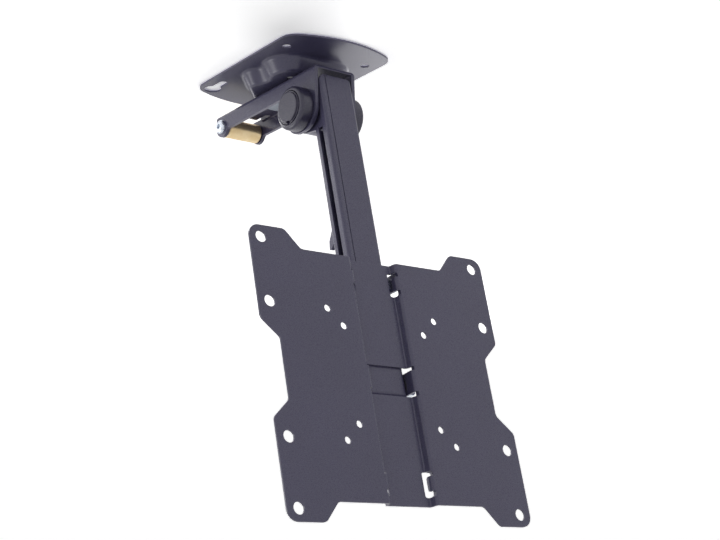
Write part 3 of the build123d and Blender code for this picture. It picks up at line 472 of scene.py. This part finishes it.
paint, tree, place = start("matt_ceiling_paint")
ray, direct = direct_rays(tree)
shape = add(tree, "ShaderNodeNewGeometry")
mottle = add(tree, "ShaderNodeTexNoise", {"Vector": place, "Scale": 1 / MOTTLE, "Detail": 2.0})
tone = add(tree, "ShaderNodeMix", {
    "Factor": mottle.outputs["Fac"], "A": linear(PAINT_LOW), "B": linear(PAINT_HIGH)},
    data_type="RGBA")
bounce = add(tree, "ShaderNodeBsdfDiffuse", {"Color": tone.outputs["Result"]})
layer = add(tree, "ShaderNodeBsdfDiffuse", {"Color": PURE_WHITE})
glow = add(tree, "ShaderNodeEmission", {"Color": WHITE, "Strength": GLOW})
layers = add(tree, "ShaderNodeAddShader", {0: layer.outputs["BSDF"], 1: layer.outputs["BSDF"]})
seen = add(tree, "ShaderNodeAddShader", {
    0: layers.outputs["Shader"], 1: glow.outputs["Emission"]})
front = add(tree, "ShaderNodeMixShader", {
    0: direct, 1: bounce.outputs["BSDF"], 2: seen.outputs["Shader"]})
near = add(tree, "ShaderNodeMath", {0: ray.outputs["Ray Length"], 1: NEAR}, operation="LESS_THAN")
through = add(tree, "ShaderNodeMath", {
    0: near.outputs["Value"], 1: shape.outputs["Backfacing"]}, operation="MAXIMUM")
clear = add(tree, "ShaderNodeBsdfTransparent")
both = add(tree, "ShaderNodeMixShader", {
    0: through.outputs["Value"], 1: front.outputs["Shader"], 2: clear.outputs["BSDF"]})
close(paint, both.outputs["Shader"])

# %% [markdown]
# ## The ceiling
#
# The mount hangs from a white ceiling, which also stands behind it in the picture, because
# the camera looks up. It is one disc just above the plate, so wide that its edge is far out
# of the picture. It is turned over, so that its front looks down into the room.

# %% Ceiling
CEILING_GAP = 0.4 * MM
CEILING_RADIUS = 14.0

bm = bmesh.new()
bmesh.ops.create_circle(bm, cap_ends=True, segments=96, radius=CEILING_RADIUS)
bmesh.ops.translate(bm, vec=(0, 0, CEILING_GAP), verts=bm.verts[:])
bmesh.ops.reverse_faces(bm, faces=bm.faces[:])
ceiling = into_object(bm, "ceiling", paint)
print("ceiling faces down:", ceiling.data.polygons[0].normal.z < 0)

# %% [markdown]
# ## Room light
#
# The object hangs in a white tent: light comes from everywhere, and mirrors see white. The
# world gives that, at full white to the camera and to mirrors, and lower to matt surfaces,
# most of all from below, because the lamps add theirs. The change runs over the height of
# the direction that a ray takes, which is -1 straight down and 0 at the horizon.

# %% World
DARK_BELOW, LIGHT_ABOVE = -0.7, 0.05
DARKEST = 0.12

world = bpy.data.worlds.new("white_tent")
bpy.context.scene.world = world
world.use_nodes = True
tree = world.node_tree
tree.nodes.clear()
direct = direct_rays(tree)[1]
way = add(tree, "ShaderNodeTexCoord").outputs["Generated"]
height = add(tree, "ShaderNodeSeparateXYZ", {"Vector": way}).outputs["Z"]
level = add(tree, "ShaderNodeMapRange", {
    "Value": height, "From Min": DARK_BELOW, "From Max": LIGHT_ABOVE,
    "To Min": DARKEST, "To Max": 1.0}, interpolation_type="SMOOTHSTEP")
soft = add(tree, "ShaderNodeBackground", {"Color": WHITE, "Strength": level.outputs["Result"]})
white = add(tree, "ShaderNodeBackground", {"Color": WHITE, "Strength": 1.0})
either = add(tree, "ShaderNodeMixShader", {
    0: direct, 1: soft.outputs["Background"], 2: white.outputs["Background"]})
add(tree, "ShaderNodeOutputWorld", {"Surface": either.outputs["Shader"]})
print("world nodes:", len(tree.nodes))

# %% [markdown]
# ## Lamps
#
# Real pictures of such a part are lit by softboxes, large squares of even light. One behind
# on the left brightens the faces that look that way. A small panel let into the ceiling
# there puts the sheen on the rear of the yoke's side. One behind on the right lies where the
# plate's right end mirrors it. The camera sees none of them.

# %% Lamps
def lamp(name, place, target, size, watts):
    """Square soft lamp that looks at a point and that the camera doesn't see."""
    data = bpy.data.lights.new(name, "AREA")
    data.size = size
    data.energy = watts
    item = bpy.data.objects.new(name, data)
    bpy.context.scene.collection.objects.link(item)
    aim = (Vector(target) - Vector(place)).normalized()
    turned = aim.to_track_quat("-Z", "Y").to_matrix().to_4x4()
    item.matrix_world = Matrix.Translation(place) @ turned
    item.visible_camera = False
    print("lamp:", name, watts, "W")


lamp("left_rear_softbox", (-0.60, 0.52, -0.42), (0.0, 0.03, -0.12), 0.40, 1.5)
lamp("ceiling_panel", (-0.11, 0.24, -0.004), (-0.11, 0.24, -1.0), 0.13, 0.34)
lamp("right_rear_softbox", (0.84, 0.70, -0.36), (0.0, 0.0, -0.03), 0.36, 0.85)

# %% [markdown]
# ## A far window
#
# A far window, wide and low behind on the right, throws the soft shadow of the plate and
# the arm forward and to the left on the ceiling. A sun lamp stands for it, because at such
# a distance its light comes from one direction everywhere, and its angle makes it as wide
# as the window looks. Mirrors don't see it, because the window itself would show as a
# bright round spot on the bolts.

# %% Window
WINDOW_POWER = 1.45
WINDOW_ANGLE = math.radians(50)
WINDOW_WAY = Vector((-0.71, -0.50, 0.50))

window_light = bpy.data.lights.new("far_window", "SUN")
window_light.energy = WINDOW_POWER
window_light.angle = WINDOW_ANGLE
window = bpy.data.objects.new("far_window", window_light)
bpy.context.scene.collection.objects.link(window)
window.visible_glossy = False
window.matrix_world = WINDOW_WAY.to_track_quat("-Z", "Y").to_matrix().to_4x4()
print("window:", window.name, WINDOW_POWER, "W per square metre")

# %% [markdown]
# ## Camera
#
# The view is worked out from the screen holes, whose spacing is a standard, and from the
# straight edges. It stands low on the left in front and looks up. The picture is taken to be
# 720 by 540 pixels, and the focal length in pixels turns into millimetres on a 36 mm sensor.

# %% Camera
FOCAL_PIXELS = 1497.55
PICTURE_WIDTH = 720
SENSOR_WIDTH = 36.0
CAMERA_PLACE = Vector((-675.49, -954.32, -464.17)) * MM
CAMERA_TURNS = (37.72, 14.09, 2.11)  # degrees to the right, up, and over to one side

heading, lift, roll = (math.radians(a) for a in CAMERA_TURNS)
view = Vector((
    math.sin(heading) * math.cos(lift), math.cos(heading) * math.cos(lift), math.sin(lift)))
across = view.cross(Vector((0, 0, 1))).normalized()
down = view.cross(across)
right_of = math.cos(roll) * across + math.sin(roll) * down
down_of = -math.sin(roll) * across + math.cos(roll) * down
eye = bpy.data.cameras.new("camera")
eye.sensor_width = SENSOR_WIDTH
eye.lens = SENSOR_WIDTH * FOCAL_PIXELS / PICTURE_WIDTH
eye.clip_start = 0.01
eye.clip_end = 100.0
camera = bpy.data.objects.new("camera", eye)
bpy.context.scene.collection.objects.link(camera)
turned = Matrix((right_of, -down_of, -view)).transposed().to_4x4()
camera.matrix_world = Matrix.Translation(CAMERA_PLACE) @ turned
bpy.context.scene.camera = camera
bpy.context.scene.view_settings.view_transform = "Standard"
print("lens in mm:", round(eye.lens, 2))
